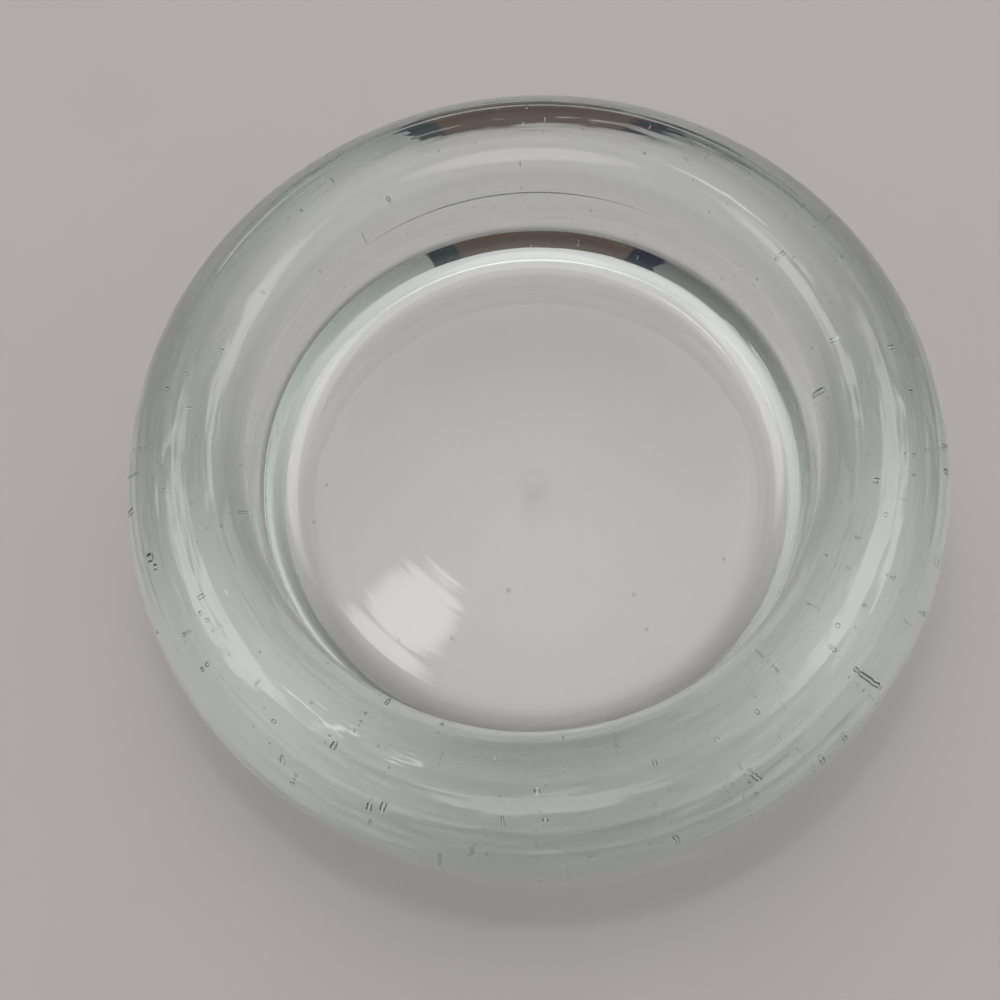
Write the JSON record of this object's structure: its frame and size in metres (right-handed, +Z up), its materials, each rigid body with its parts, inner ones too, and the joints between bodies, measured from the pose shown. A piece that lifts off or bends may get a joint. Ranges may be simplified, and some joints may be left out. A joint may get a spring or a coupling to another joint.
{
  "type": "candle_bowl",
  "caption": "Heavy clear glass bowl for floating candles, with a fat rounded ring, a flat well and seeds of gas in the glass",
  "frame": {"origin": "the middle of the base, on the plane that the bowl stands on", "axes": "+Z is up along the bowl's axis, +X is to the right in the picture and +Y points away from its camera"},
  "size_m": [0.18, 0.18, 0.044],
  "materials": {
    "clear_glass": "polished",
    "gas_bubble": "polished"
  },
  "bodies": {
    "root": {"glass_bowl": "clear_glass", "seed_bubbles": "gas_bubble", "drawn_blisters": "gas_bubble"}
  },
  "joints": []
}
